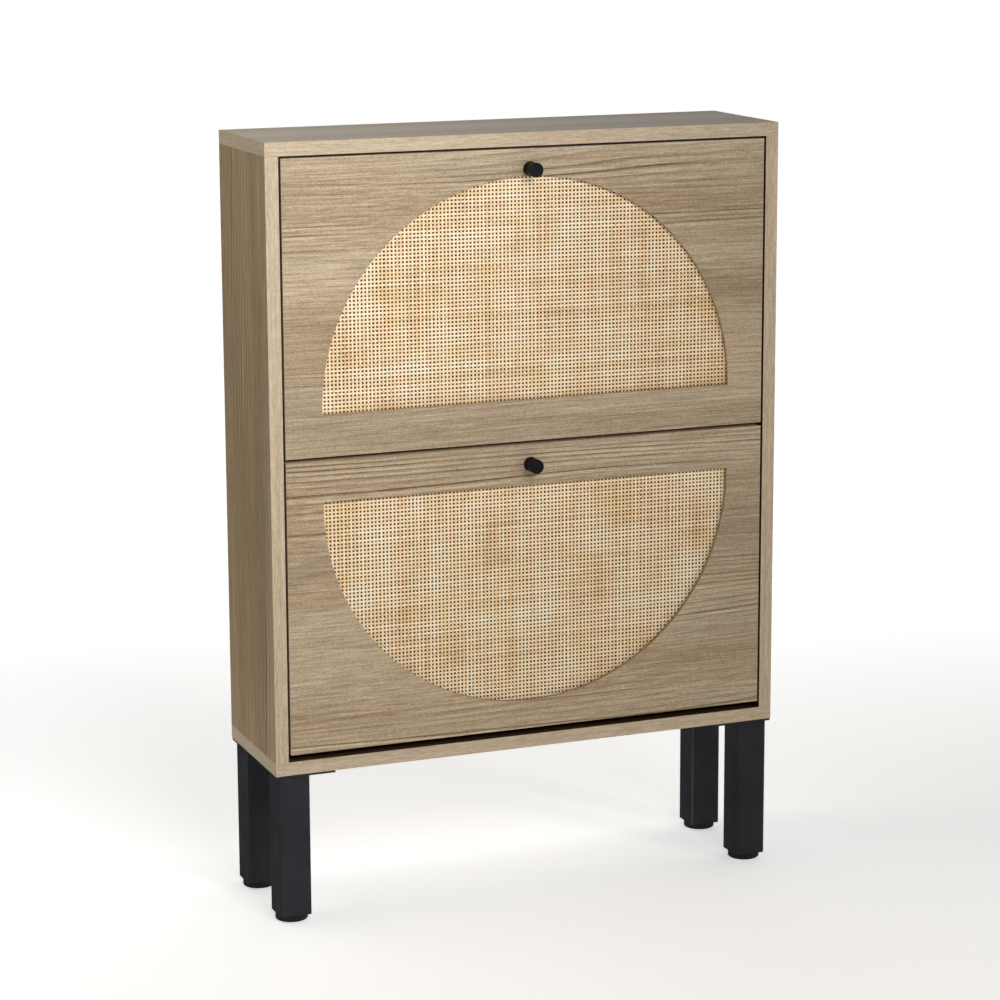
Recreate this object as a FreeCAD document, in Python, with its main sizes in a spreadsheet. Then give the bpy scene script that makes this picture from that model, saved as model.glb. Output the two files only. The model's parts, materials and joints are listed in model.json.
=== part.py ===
"""Slim shoe cabinet: a board carcass with two tilt-out flaps that have half-round cane insets, on four
square steel legs with levelling feet. Each flap carries a shoe rack and swings on two pivot pins.

Millimetres. +X is to the right, +Z is up and the front faces -Y. The origin is on the floor, at the
centre of the box that holds the whole cabinet.
"""

import FreeCAD
import Part
import Sketcher
import math
import operator
import os
from FreeCAD import Placement, Rotation, Vector
from types import SimpleNamespace

DIMENSIONS = {
    # carcass
    "width": 600,
    "depth": 165,
    "carcass_height": 690,
    "board": 15,
    "back_board": 3,
    "back_inset": 10,
    "groove_depth": 5,
    "divider_setback": 3,
    "divider_drop": 5.5,
    # knock-down fittings
    "cam_radius": 7.5,
    "cam_depth": 12.5,
    "cam_distance": 24,
    "cam_slot_width": 1.6,
    "cam_slot_depth": 1.2,
    "bolt_radius": 3,
    "bolt_bore": 3.6,
    "bolt_tip_radius": 2.5,
    "bolt_tip": 10,
    "dowel_radius": 4,
    "dowel_length": 30,
    "dowel_bite": 10,
    "fitting_inset": 30,
    # flaps
    "side_gap": 2.5,
    "top_gap": 2.5,
    "middle_gap": 4,
    "bottom_gap": 7.5,
    "upper_flap_height": 322,
    # cane insets
    "cane_radius": 240.5,
    "cane_past_centre": 5.5,
    "cane_margin": 46,
    "cane_recess": 5,
    "cane_thickness": 1.2,
    "cane_lip": 3,
    "cane_backing": 3,
    # knobs
    "knob_radius": 8,
    "knob_waist": 7.1,
    "knob_length": 20,
    "knob_foot": 5,
    "knob_neck": 3,
    "knob_taper": 2.5,
    "knob_inset": 22,
    "knob_chamfer": 0.7,
    "knob_bore": 12,
    "knob_screw_radius": 2,
    "knob_screw_head": 3.6,
    "knob_screw_head_height": 2.4,
    # pivots and stops
    "pivot_behind_door": 6,
    "pivot_height": 60,
    "pin_radius": 4,
    "pin_head_radius": 5.5,
    "pin_head": 2,
    "pin_notch_gap": 1,
    "running_gap": 0.05,
    "bush_radius": 6,
    "bush_length": 10,
    "bush_flange_radius": 7.5,
    "bush_flange": 1,
    "stop_radius": 80,
    "stop_angle": 35,
    "stop_gap": 0.2,
    "pin_end_gap": 0.5,
    "flap_travel": 50,
    # shoe racks
    "plate_side_gap": 8,
    "bracket_plate": 4,
    "bracket_bottom": 20,
    "bracket_height": 195,
    "bracket_rear_height": 130,
    "bracket_sweep": 100,
    "flange_width": 20,
    "ledge": 4,
    "ledge_reach": 8,
    "rib": 3,
    "rack_board": 9,
    "rack_depth": 116,
    "bracket_screw_radius": 1.75,
    "bracket_screw_head": 3.5,
    "bracket_screw_head_height": 2,
    "bracket_screw_bite": 10,
    "bracket_screw_inset": 24,
    "bracket_screw_edge": 2,
    "bracket_screws": 4,
    # legs
    "leg_height": 163,
    "leg_plate": 68,
    "leg_plate_thickness": 2.5,
    "leg_plate_inset": 0.5,
    "leg_tube": 36,
    "leg_wall": 1.5,
    "leg_inset": 4,
    "plate_screw_radius": 2,
    "plate_screw_head": 4,
    "plate_screw_head_height": 2.2,
    "plate_screw_bite": 10,
    "plate_screw_inset": 10,
    # levelling feet
    "foot_radius": 18,
    "foot_height": 7,
    "foot_chamfer": 0.8,
    "foot_notch": 1.2,
    "foot_notch_offset": 0.4,
    "foot_notches": 30,
    "foot_bore_depth": 4.5,
    "stud_radius": 4,
    "stud_length": 34,
    "insert_height": 14,
}

OPERATORS = {"+": operator.add, "-": operator.sub, "*": operator.mul, "/": operator.truediv}


class Size:
    """A number worked out from the sheet: its value, and the expression that gives it."""

    def __init__(self, value, text):
        self.value = value
        self.text = text

    def __add__(self, other):
        return combine(self, "+", other)

    def __radd__(self, other):
        return combine(other, "+", self)

    def __sub__(self, other):
        return combine(self, "-", other)

    def __rsub__(self, other):
        return combine(other, "-", self)

    def __mul__(self, other):
        return combine(self, "*", other)

    def __rmul__(self, other):
        return combine(other, "*", self)

    def __truediv__(self, other):
        return combine(self, "/", other)

    def __neg__(self):
        return combine(0, "-", self)


def as_size(number):
    if isinstance(number, Size):
        return number
    return Size(number, str(number) if number >= 0 else f"({number})")


def combine(left, sign, right):
    left, right = as_size(left), as_size(right)
    return Size(OPERATORS[sign](left.value, right.value), f"({left.text} {sign} {right.text})")


def cosine(angle):
    return Size(math.cos(math.radians(angle.value)), f"cos({angle.text} * 1 deg)")


def sine(angle):
    return Size(math.sin(math.radians(angle.value)), f"sin({angle.text} * 1 deg)")


doc = FreeCAD.newDocument("ShoeCabinet")
sheet = doc.addObject("Spreadsheet::Sheet", "Sizes")
for row, (alias, value) in enumerate(DIMENSIONS.items(), start=1):
    sheet.set(f"A{row}", alias)
    sheet.set(f"B{row}", str(value))
    sheet.setAlias(f"B{row}", alias)
doc.recompute()

d = SimpleNamespace(**{alias: Size(sheet.get(alias), f"Sizes.{alias}") for alias in DIMENSIONS})
nodes = {}

UP = Rotation()
DOWN = Rotation(Vector(1, 0, 0), 180)
RIGHT = Rotation(Vector(0, 0, 1), Vector(1, 0, 0))
LEFT = Rotation(Vector(0, 0, 1), Vector(-1, 0, 0))
BACK = Rotation(Vector(0, 0, 1), Vector(0, 1, 0))
FORWARD = Rotation(Vector(0, 0, 1), Vector(0, -1, 0))
SIDES = {"left": -1, "right": 1}


# Building blocks --------------------------------------------------------------------------------


def bind(thing, **sizes):
    for name, size in sizes.items():
        thing.setExpression(name, as_size(size).text)


def place(thing, at, turn=UP):
    """Puts thing's own origin at a point, each coordinate bound to the sheet."""
    thing.Placement = Placement(Vector(), turn)
    for axis, size in zip("xyz", at):
        thing.setExpression(f".Placement.Base.{axis}", as_size(size).text)
    return thing


def node(label, solid):
    """Names a finished sub-part, which is written to a file of that name."""
    solid.Label = label
    nodes[label] = solid
    return solid


def moved(at, turn, *steps):
    """The point reached from at by steps along the turned X, Y and Z axes."""
    point = list(at)
    for direction, step in zip((Vector(1, 0, 0), Vector(0, 1, 0), Vector(0, 0, 1)), steps):
        for axis, share in enumerate(turn.multVec(direction)):
            if round(share):
                point[axis] = point[axis] + round(share) * step
    return tuple(point)


def box(length, width, height, at):
    """A block whose lowest corner is at a point."""
    solid = doc.addObject("Part::Box", "Block")
    bind(solid, Length=length, Width=width, Height=height)
    return place(solid, at)


def rod(radius, length, at, along=UP):
    """A cylinder that starts at a point and runs along a direction."""
    solid = doc.addObject("Part::Cylinder", "Rod")
    bind(solid, Radius=radius, Height=length)
    return place(solid, at, along)


def fuse(solids):
    joined = doc.addObject("Part::MultiFuse", "Joined")
    joined.Shapes = solids
    joined.Refine = True
    return joined


def cut(base, tools):
    result = doc.addObject("Part::Cut", "Cut")
    result.Base = base
    result.Tool = tools[0] if len(tools) == 1 else fuse(tools)
    result.Refine = True
    return result


def group(solids):
    """Separate solids kept as one sub-part."""
    together = doc.addObject("Part::Compound", "Group")
    together.Links = solids
    return together


def origin_feature(body, role):
    return next(feature for feature in body.Origin.OriginFeatures if feature.Role == role)


def new_body(label, at, turn=UP):
    body = doc.addObject("PartDesign::Body", "Body")
    place(body, at, turn)
    return node(label, body)


def new_sketch(body, role, offset=0):
    """A sketch on one of the body's origin planes, moved by offset along that plane's normal."""
    sketch = body.newObject("Sketcher::SketchObject", "Sketch")
    sketch.AttachmentSupport = (origin_feature(body, role), [""])
    sketch.MapMode = "FlatFace"
    sketch.setExpression(".AttachmentOffset.Base.z", as_size(offset).text)
    return sketch


def dimension(sketch, kind, *where_and_size):
    *where, size = where_and_size
    size = as_size(size)
    index = sketch.addConstraint(Sketcher.Constraint(kind, *where, float(size.value)))
    sketch.setExpression(f"Constraints[{index}]", size.text)


def locate(sketch, edge, vertex, x, y):
    """Dimensions a vertex of an edge from the sketch's origin."""
    dimension(sketch, "DistanceX", -1, 1, edge, vertex, x)
    dimension(sketch, "DistanceY", -1, 1, edge, vertex, y)


def draw_outline(sketch, corners):
    """A closed outline of straight edges."""
    first = sketch.GeometryCount
    points = [Vector(as_size(x).value, as_size(y).value, 0) for x, y in corners]
    for start, end in zip(points, points[1:] + points[:1]):
        sketch.addGeometry(Part.LineSegment(start, end))
    for place_in_loop, (x, y) in enumerate(corners):
        following = first + (place_in_loop + 1) % len(corners)
        sketch.addConstraint(Sketcher.Constraint("Coincident", first + place_in_loop, 2, following, 1))
        locate(sketch, first + place_in_loop, 1, x, y)


def draw_circle(sketch, radius, x, y):
    centre = Vector(as_size(x).value, as_size(y).value, 0)
    edge = sketch.addGeometry(Part.Circle(centre, Vector(0, 0, 1), as_size(radius).value))
    dimension(sketch, "Radius", edge, radius)
    locate(sketch, edge, 3, x, y)


def draw_half_round(sketch, straight_edge, rises, grow):
    """The cane inset's outline, a little more than half a circle. It rises (1) or hangs (-1) from a
    straight edge at that height, and grow widens it all round."""
    radius = d.cane_radius + grow
    centre = straight_edge + rises * d.cane_past_centre
    edge = straight_edge - rises * grow
    reach = (radius.value**2 - (edge.value - centre.value) ** 2) ** 0.5
    left, right = Vector(-reach, edge.value, 0), Vector(reach, edge.value, 0)
    middle = Vector(0, centre.value, 0)
    start, end = (right, left) if rises > 0 else (left, right)
    top = middle + Vector(0, rises * radius.value, 0)
    arc = sketch.addGeometry(Part.Arc(start, top, end))
    line = sketch.addGeometry(Part.LineSegment(end, start))
    sketch.addConstraint(Sketcher.Constraint("Coincident", arc, 1, line, 2))
    sketch.addConstraint(Sketcher.Constraint("Coincident", arc, 2, line, 1))
    sketch.addConstraint(Sketcher.Constraint("Horizontal", line))
    locate(sketch, arc, 3, 0, centre)
    dimension(sketch, "Radius", arc, radius)
    dimension(sketch, "DistanceY", -1, 1, line, 1, edge)


def pad(body, sketch, length, backwards=False):
    feature = body.newObject("PartDesign::Pad", "Pad")
    feature.Profile = sketch
    bind(feature, Length=length)
    feature.Reversed = backwards
    body.Tip = feature
    return feature


def pocket(body, sketch):
    """Cuts from the sketch right through what lies behind it."""
    feature = body.newObject("PartDesign::Pocket", "Pocket")
    feature.Profile = sketch
    feature.Type = "ThroughAll"
    body.Tip = feature
    return feature


def turned(label, corners, at, turn=UP):
    """A body turned about its own Z axis from an outline of (radius, height) corners."""
    body = new_body(label, at, turn)
    sketch = new_sketch(body, "XZ_Plane")
    draw_outline(sketch, corners)
    feature = body.newObject("PartDesign::Revolution", "Revolution")
    feature.Profile = sketch
    feature.ReferenceAxis = (sketch, ["V_Axis"])
    feature.Angle = 360
    body.Tip = feature
    return body


# Places that several sub-parts share ------------------------------------------------------------

half_width = d.width / 2
front = -(d.depth - d.knob_length) / 2
rear = front + d.depth
carcass_base = d.foot_height + d.leg_height
carcass_top = carcass_base + d.carcass_height
inside_base = carcass_base + d.board
inside_top = carcass_top - d.board
inside_x = half_width - d.board
back_front = rear - d.back_inset - d.back_board
flap_width = d.width - 2 * d.board - 2 * d.side_gap
flap_back = front + d.board
upper_flap_base = inside_top - d.top_gap - d.upper_flap_height
lower_flap_base = inside_base + d.bottom_gap
lower_flap_height = upper_flap_base - d.middle_gap - lower_flap_base
divider_base = upper_flap_base - d.divider_drop - d.board
divider_front = flap_back + d.divider_setback
bracket_outer = inside_x - d.plate_side_gap
bracket_inner = bracket_outer - d.bracket_plate
pivot_y = flap_back + d.pivot_behind_door
rack_rear = flap_back + d.ledge + d.rack_depth

FLAPS = {
    "upper": SimpleNamespace(base=upper_flap_base, height=d.upper_flap_height, rises=1),
    "lower": SimpleNamespace(base=lower_flap_base, height=lower_flap_height, rises=-1),
}
# Each leg's frame has its origin at a lower corner of the carcass, with X and Y pointing inwards.
LEGS = {
    "front_left": ((-half_width, front, carcass_base), Rotation(Vector(0, 0, 1), 0)),
    "front_right": ((half_width, front, carcass_base), Rotation(Vector(0, 0, 1), 90)),
    "rear_right": ((half_width, rear, carcass_base), Rotation(Vector(0, 0, 1), 180)),
    "rear_left": ((-half_width, rear, carcass_base), Rotation(Vector(0, 0, 1), 270)),
}


# Knock-down fittings of the carcass -------------------------------------------------------------


def cam_bolt(at, along):
    """A bolt that stands on a board's face at a point, with its tip in the board behind it."""
    tip = rod(d.bolt_tip_radius, d.bolt_tip, moved(at, along, 0, 0, -d.bolt_tip), along)
    return fuse([tip, rod(d.bolt_radius, d.cam_distance, at, along)])


def cam_lock(face, turn, bolt_at, along):
    """A cam sunk into a board's face, with a cross slot for the screwdriver and a bore for the bolt."""
    drum = rod(d.cam_radius, d.cam_depth, face, turn)
    reach, half_slot = d.cam_radius, d.cam_slot_width / 2
    bars = []
    for half_x, half_y in ((reach, half_slot), (half_slot, reach)):
        bar = box(2 * half_x, 2 * half_y, d.cam_slot_depth, (0, 0, 0))
        bars.append(place(bar, moved(face, turn, -half_x, -half_y, 0), turn))
    return cut(drum, bars + [rod(d.bolt_radius, d.cam_distance, bolt_at, along)])


cam_bolts, cam_locks, dowels = [], [], []
panel_bores = {"top": [], "bottom": []}
side_bores = {side: [] for side in SIDES}
divider_bores = []


def cam_joint(at, along, lock_face, lock_turn, tip_board, lock_board):
    """A bolt, the cam that draws it in, and the bores that both leave in their boards."""
    cam_bolts.append(cam_bolt(at, along))
    cam_locks.append(cam_lock(lock_face, lock_turn, at, along))
    tip_board.append(rod(d.bolt_tip_radius, d.bolt_tip, moved(at, along, 0, 0, -d.bolt_tip), along))
    lock_board.append(rod(d.bolt_bore, d.cam_distance, at, along))
    lock_board.append(rod(d.cam_radius, d.cam_depth, lock_face, lock_turn))


fitting_rows = (front + d.fitting_inset, rear - d.fitting_inset - d.back_inset)
dowel_row = (fitting_rows[0] + fitting_rows[1]) / 2

for side, sign in SIDES.items():
    outward, inward = (RIGHT, LEFT) if sign > 0 else (LEFT, RIGHT)
    middle_of_board = sign * (half_width - d.board / 2)
    for end, face, along in (("top", inside_top, DOWN), ("bottom", inside_base, UP)):
        for y in fitting_rows:
            start = (middle_of_board, y, face)
            lock_height = moved(start, along, 0, 0, d.cam_distance)[2]
            lock_face = (sign * inside_x, y, lock_height)
            cam_joint(start, along, lock_face, outward, panel_bores[end], side_bores[side])
        dowel_start = moved((middle_of_board, dowel_row, face), along, 0, 0, -d.dowel_bite)
        dowels.append(rod(d.dowel_radius, d.dowel_length, dowel_start, along))
        for bores in (panel_bores[end], side_bores[side]):
            bores.append(rod(d.dowel_radius, d.dowel_length, dowel_start, along))
    for y in fitting_rows:
        start = (sign * inside_x, y, divider_base + d.board / 2)
        lock_face = (sign * (inside_x - d.cam_distance), y, divider_base)
        cam_joint(start, inward, lock_face, UP, side_bores[side], divider_bores)

node("cam_bolts", group(cam_bolts))
node("cam_locks", group(cam_locks))
node("wood_dowels", group(dowels))


# Pivot bushes and stop pins, both pressed into the side panels -----------------------------------

stop_pin_reach = d.plate_side_gap + d.bracket_plate - d.pin_end_gap
bushes, stop_pins = [], []
for side, sign in SIDES.items():
    outward = RIGHT if sign > 0 else LEFT
    for flap in FLAPS.values():
        pivot = (sign * inside_x, pivot_y, flap.base + d.pivot_height)
        collar_face = moved(pivot, outward, 0, 0, -d.bush_flange)
        sleeve = rod(d.bush_radius, d.bush_length, pivot, outward)
        collar = rod(d.bush_flange_radius, d.bush_flange, collar_face, outward)
        bore_length = d.bush_length + d.bush_flange
        bore = rod(d.pin_radius + d.running_gap, bore_length, collar_face, outward)
        bushes.append(cut(fuse([sleeve, collar]), [bore]))
        side_bores[side].append(rod(d.bush_radius, d.bush_length, pivot, outward))

        stop_y = pivot_y + d.stop_radius * cosine(d.stop_angle)
        stop_z = flap.base + d.pivot_height + d.stop_radius * sine(d.stop_angle)
        stop_face = (sign * inside_x, stop_y, stop_z)
        stop_start = moved(stop_face, outward, 0, 0, -stop_pin_reach)
        stop_pins.append(rod(d.pin_radius, stop_pin_reach + d.bush_length, stop_start, outward))
        side_bores[side].append(rod(d.pin_radius, d.bush_length, stop_face, outward))

node("pivot_bushes", group(bushes))
node("stop_pins", group(stop_pins))


# Legs and levelling feet --------------------------------------------------------------------------

tube_middle = d.leg_inset + d.leg_tube / 2
screw_near = tube_middle
screw_far = d.leg_plate_inset + d.leg_plate - d.plate_screw_inset
plate_screw_spots = ((screw_far, screw_near), (screw_near, screw_far), (screw_far, screw_far))
tube_length = d.leg_height - d.leg_plate_thickness
plate_screws = []


def draw_square(sketch, low, high):
    draw_outline(sketch, ((low, low), (high, low), (high, high), (low, high)))


def leg_plate(label, corner, turn):
    body = new_body(label, moved(corner, turn, 0, 0, -d.leg_plate_thickness), turn)
    sketch = new_sketch(body, "XY_Plane")
    draw_square(sketch, d.leg_plate_inset, d.leg_plate_inset + d.leg_plate)
    for x, y in plate_screw_spots:
        draw_circle(sketch, d.plate_screw_radius, x, y)
    pad(body, sketch, d.leg_plate_thickness)


def leg_tube(label, corner, turn):
    body = new_body(label, moved(corner, turn, 0, 0, -d.leg_height), turn)
    sketch = new_sketch(body, "XY_Plane")
    low, high = d.leg_inset, d.leg_inset + d.leg_tube
    draw_square(sketch, low, high)
    draw_square(sketch, low + d.leg_wall, high - d.leg_wall)
    pad(body, sketch, tube_length)


def foot_insert(label, corner, turn):
    """The threaded plug in the end of the tube. The thread is left plain."""
    body = new_body(label, moved(corner, turn, 0, 0, -d.leg_height), turn)
    sketch = new_sketch(body, "XY_Plane")
    low, high = d.leg_inset + d.leg_wall, d.leg_inset + d.leg_tube - d.leg_wall
    draw_square(sketch, low, high)
    draw_circle(sketch, d.stud_radius + d.running_gap, tube_middle, tube_middle)
    pad(body, sketch, d.insert_height)


def foot_pad(label, at):
    """A round foot with a notched edge for the fingers, and a blind bore for its stud."""
    radius, chamfer, bore = d.foot_radius, d.foot_chamfer, d.stud_radius + d.running_gap
    bore_floor = d.foot_height - d.foot_bore_depth
    profile = (
        (0, 0),
        (radius - chamfer, 0),
        (radius, chamfer),
        (radius, d.foot_height - chamfer),
        (radius - chamfer, d.foot_height),
        (bore, d.foot_height),
        (bore, bore_floor),
        (0, bore_floor),
    )
    body = turned(label, profile, at)
    sketch = new_sketch(body, "XY_Plane", d.foot_height)
    draw_circle(sketch, d.foot_notch, radius + d.foot_notch_offset, 0)
    notch = pocket(body, sketch)
    pattern = body.newObject("PartDesign::PolarPattern", "Notches")
    pattern.Originals = [notch]
    pattern.Axis = (origin_feature(body, "Z_Axis"), [""])
    pattern.Angle = 360
    bind(pattern, Occurrences=d.foot_notches)
    body.Tip = pattern


for leg, (corner, turn) in LEGS.items():
    leg_plate(f"{leg}_leg_plate", corner, turn)
    leg_tube(f"{leg}_leg_tube", corner, turn)
    foot_insert(f"{leg}_foot_insert", corner, turn)
    foot = moved(corner, turn, tube_middle, tube_middle, -carcass_base)
    foot_pad(f"{leg}_foot_pad", foot)
    stud_base = moved(foot, UP, 0, 0, d.foot_height - d.foot_bore_depth + d.running_gap)
    node(f"{leg}_foot_stud", rod(d.stud_radius, d.stud_length, stud_base))
    for x, y in plate_screw_spots:
        under_plate = moved(corner, turn, x, y, -d.leg_plate_thickness)
        head_base = moved(under_plate, UP, 0, 0, -d.plate_screw_head_height)
        head = rod(d.plate_screw_head, d.plate_screw_head_height, head_base)
        shank_length = d.leg_plate_thickness + d.plate_screw_bite
        plate_screws.append(fuse([head, rod(d.plate_screw_radius, shank_length, under_plate)]))
        bite_start = moved(corner, turn, x, y, 0)
        panel_bores["bottom"].append(rod(d.plate_screw_radius, d.plate_screw_bite, bite_start))
node("leg_plate_screws", group(plate_screws))


# Carcass boards -----------------------------------------------------------------------------------


def side_box(sign, inner, outer, y, depth, z, height):
    """A block between two distances from the middle, on one side of the cabinet."""
    return box(outer - inner, depth, height, (inner if sign > 0 else -outer, y, z))


back_x = inside_x + d.groove_depth
for end, base, groove_base in (
    ("top", inside_top, inside_top),
    ("bottom", carcass_base, inside_base - d.groove_depth),
):
    panel = box(d.width, d.depth, d.board, (-half_width, front, base))
    groove = box(2 * back_x, d.back_board, d.groove_depth, (-back_x, back_front, groove_base))
    node(f"{end}_panel", cut(panel, [groove] + panel_bores[end]))

side_height = inside_top - inside_base
for side, sign in SIDES.items():
    board = side_box(sign, inside_x, half_width, front, d.depth, inside_base, side_height)
    groove = side_box(sign, inside_x, back_x, back_front, d.back_board, inside_base, side_height)
    node(f"{side}_side_panel", cut(board, [groove] + side_bores[side]))

divider = box(
    2 * inside_x, back_front - divider_front, d.board, (-inside_x, divider_front, divider_base)
)
node("middle_divider", cut(divider, divider_bores))

back_base = inside_base - d.groove_depth
back_height = side_height + 2 * d.groove_depth
node("back_panel", box(2 * back_x, d.back_board, back_height, (-back_x, back_front, back_base)))


# Flaps --------------------------------------------------------------------------------------------

screw_x = bracket_inner - d.flange_width + d.bracket_screw_head + d.bracket_screw_edge
screw_step = (d.bracket_height - 2 * d.bracket_screw_inset) / (d.bracket_screws - 1)
screw_heights = [
    d.bracket_bottom + d.bracket_screw_inset + step * screw_step
    for step in range(DIMENSIONS["bracket_screws"])
]


def door_panel(label, flap, straight_edge):
    """A board with a half-round window, rebated from behind, and bores for the knob and bracket screws."""
    body = new_body(label, (0, front, flap.base))
    sketch = new_sketch(body, "XZ_Plane")
    half = flap_width / 2
    draw_outline(sketch, ((-half, 0), (half, 0), (half, flap.height), (-half, flap.height)))
    pad(body, sketch, d.board, backwards=True)
    window = new_sketch(body, "XZ_Plane")
    draw_half_round(window, straight_edge, flap.rises, as_size(0))
    pocket(body, window)
    rebate = new_sketch(body, "XZ_Plane", -d.cane_recess)
    draw_half_round(rebate, straight_edge, flap.rises, d.cane_lip)
    pocket(body, rebate)
    knob_hole = new_sketch(body, "XZ_Plane")
    draw_circle(knob_hole, d.knob_screw_radius, 0, flap.height - d.knob_inset)
    pocket(body, knob_hole)
    pilots = new_sketch(body, "XZ_Plane", d.bracket_screw_bite - d.board)
    for sign in SIDES.values():
        for height in screw_heights:
            draw_circle(pilots, d.bracket_screw_radius, sign * screw_x, height)
    pocket(body, pilots)


def inset_sheet(label, flap, straight_edge, behind_front, thickness):
    """A half-round sheet that lies in the door's rebate."""
    body = new_body(label, (0, front, flap.base))
    sketch = new_sketch(body, "XZ_Plane", -behind_front)
    draw_half_round(sketch, straight_edge, flap.rises, d.cane_lip)
    pad(body, sketch, thickness, backwards=True)


def knob(label, height):
    """A round knob with a slight waist, turned about the axis of its screw."""
    radius, waist, bore = d.knob_radius, d.knob_waist, d.knob_screw_radius
    waist_start = d.knob_foot + d.knob_taper
    waist_end = waist_start + d.knob_neck
    profile = (
        (bore, 0),
        (radius, 0),
        (radius, d.knob_foot),
        (waist, waist_start),
        (waist, waist_end),
        (radius, waist_end + d.knob_taper),
        (radius, d.knob_length - d.knob_chamfer),
        (radius - d.knob_chamfer, d.knob_length),
        (0, d.knob_length),
        (0, d.knob_bore),
        (bore, d.knob_bore),
    )
    turned(label, profile, (0, front, height), FORWARD)


def knob_screw(label, height):
    at = (0, flap_back, height)
    head_start = moved(at, BACK, 0, 0, d.knob_screw_head_height)
    head = rod(d.knob_screw_head, d.knob_screw_head_height, head_start, FORWARD)
    shank = rod(d.knob_screw_radius, d.board + d.knob_bore, at, FORWARD)
    node(label, fuse([head, shank]))


def pivot_z(flap):
    return flap.base + d.pivot_height


def rack_bracket(label, sign, flap):
    """A moulded side for the rack: a plate with a flange on the door, a boss around the pivot pin,
    channels for the two rack boards, and a curved slot that runs over the stop pin. The flange has a
    notch, through which the pin is pushed in."""
    outward = RIGHT if sign > 0 else LEFT
    base = flap.base + d.bracket_bottom
    depth = rack_rear + d.ledge - flap_back
    channel_x = bracket_inner - d.ledge_reach
    flange_inner = bracket_inner - d.flange_width
    floor_top = base + d.ledge + d.rack_board
    lip_height = base + d.bracket_rear_height - floor_top
    front_lip_y = rack_rear - d.rack_board - d.ledge

    def channel(y, length, z, height):
        return side_box(sign, channel_x, bracket_inner, y, length, z, height)

    solids = [
        side_box(sign, bracket_inner, bracket_outer, flap_back, depth, base, d.bracket_height),
        side_box(sign, flange_inner, bracket_inner, flap_back, d.ledge, base, d.bracket_height),
        channel(flap_back, depth, base, d.ledge),
        channel(rack_rear, d.ledge, base, d.bracket_rear_height),
        channel(flap_back, front_lip_y + d.ledge - flap_back, floor_top, d.rib),
        channel(front_lip_y, d.ledge, floor_top, lip_height),
        rod(d.pivot_behind_door, d.ledge_reach, (sign * channel_x, pivot_y, pivot_z(flap)), outward),
    ]
    sweep_z = base + d.bracket_rear_height + d.bracket_sweep
    sweep_at = (sign * bracket_inner, rack_rear + d.ledge, sweep_z)
    pin_hole = rod(
        d.pin_radius,
        d.ledge_reach + d.bracket_plate,
        (sign * channel_x, pivot_y, pivot_z(flap)),
        outward,
    )
    notch_half = d.pin_head_radius + d.pin_notch_gap
    notch_z = pivot_z(flap) - notch_half
    notch = side_box(sign, flange_inner, channel_x, flap_back, d.ledge, notch_z, 2 * notch_half)
    tools = [rod(d.bracket_sweep, d.bracket_plate, sweep_at, outward), pin_hole, notch]
    tools += stop_slot(sign, flap)
    for height in screw_heights:
        at = (sign * screw_x, flap_back, flap.base + height)
        tools.append(rod(d.bracket_screw_radius, d.ledge, at, BACK))
    node(label, cut(fuse(solids), tools))


def stop_slot(sign, flap):
    """The solids that together fill the curved slot, which is centred on the pivot."""
    slot_half = d.pin_radius + d.stop_gap
    start_angle = d.stop_angle - d.flap_travel
    inner_x = bracket_inner if sign > 0 else -bracket_outer
    # X to +Y, Y to +Z and Z to +X, then round X to where the slot starts.
    turn = Rotation(Vector(1, 0, 0), start_angle.value) * Rotation(Vector(1, 1, 1), 120)
    at = (inner_x, pivot_y, pivot_z(flap))
    outer = rod(d.stop_radius + slot_half, d.bracket_plate, at, turn)
    bind(outer, Angle=d.flap_travel)
    ring = cut(outer, [rod(d.stop_radius - slot_half, d.bracket_plate, at, RIGHT)])
    ends = []
    for angle in (start_angle, d.stop_angle):
        y = pivot_y + d.stop_radius * cosine(angle)
        z = pivot_z(flap) + d.stop_radius * sine(angle)
        ends.append(rod(slot_half, d.bracket_plate, (inner_x, y, z), RIGHT))
    return [ring] + ends


def bracket_screws(flap):
    screws = []
    for sign in SIDES.values():
        for height in screw_heights:
            at = (sign * screw_x, flap_back + d.ledge, flap.base + height)
            head_start = moved(at, BACK, 0, 0, d.bracket_screw_head_height)
            head = rod(d.bracket_screw_head, d.bracket_screw_head_height, head_start, FORWARD)
            shank = rod(d.bracket_screw_radius, d.ledge + d.bracket_screw_bite, at, FORWARD)
            screws.append(fuse([head, shank]))
    return screws


def pivot_pins(flap):
    pins = []
    for sign in SIDES.values():
        outward = RIGHT if sign > 0 else LEFT
        shank_start = (sign * (bracket_inner - d.ledge_reach), pivot_y, pivot_z(flap))
        in_bracket = d.ledge_reach + d.bracket_plate
        in_side = d.plate_side_gap + d.bush_length - d.pin_end_gap
        shank = rod(d.pin_radius, in_bracket + in_side, shank_start, outward)
        head_start = moved(shank_start, outward, 0, 0, -d.pin_head)
        pins.append(fuse([rod(d.pin_head_radius, d.pin_head, head_start, outward), shank]))
    return pins


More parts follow.
